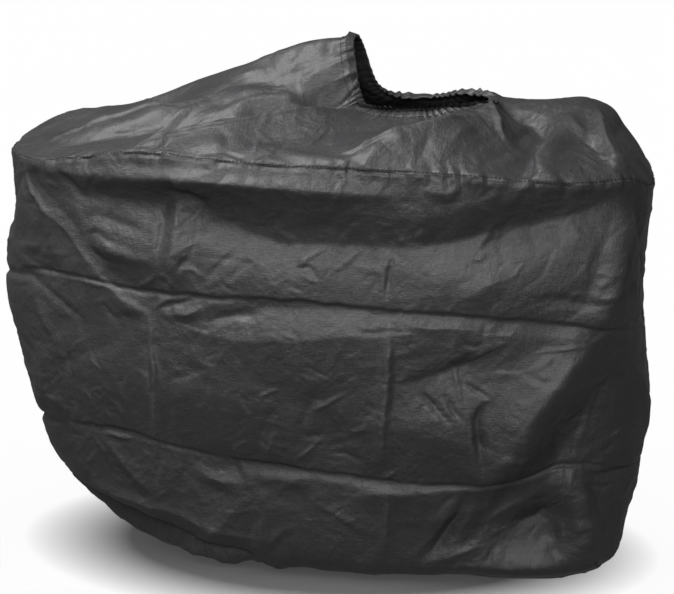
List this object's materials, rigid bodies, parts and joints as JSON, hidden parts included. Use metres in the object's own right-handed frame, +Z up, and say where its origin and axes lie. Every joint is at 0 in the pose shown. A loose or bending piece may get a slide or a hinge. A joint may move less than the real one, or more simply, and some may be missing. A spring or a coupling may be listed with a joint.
{
  "type": "folding bicycle cover",
  "caption": "Slip-on cover of thin black coated nylon, draped as over a folded bicycle, with a saddle opening drawn up into a hood.",
  "frame": {"origin": "the point under the hood of the top panel where the folded bicycle carries the cloth", "axes": "+Z up, +X along the cover's length towards the saddle's nose, +Y towards the back panel"},
  "size_m": [0.7308, 0.3257, 0.5728],
  "materials": {
    "coated_nylon": "thin plain-weave nylon with a satin coating, crumpled and crossed by packing folds"
  },
  "bodies": {
    "root": {"front_panel": "coated_nylon", "right_end_panel": "coated_nylon", "back_panel": "coated_nylon", "left_end_panel": "coated_nylon", "top_panel": "coated_nylon"}
  },
  "joints": []
}
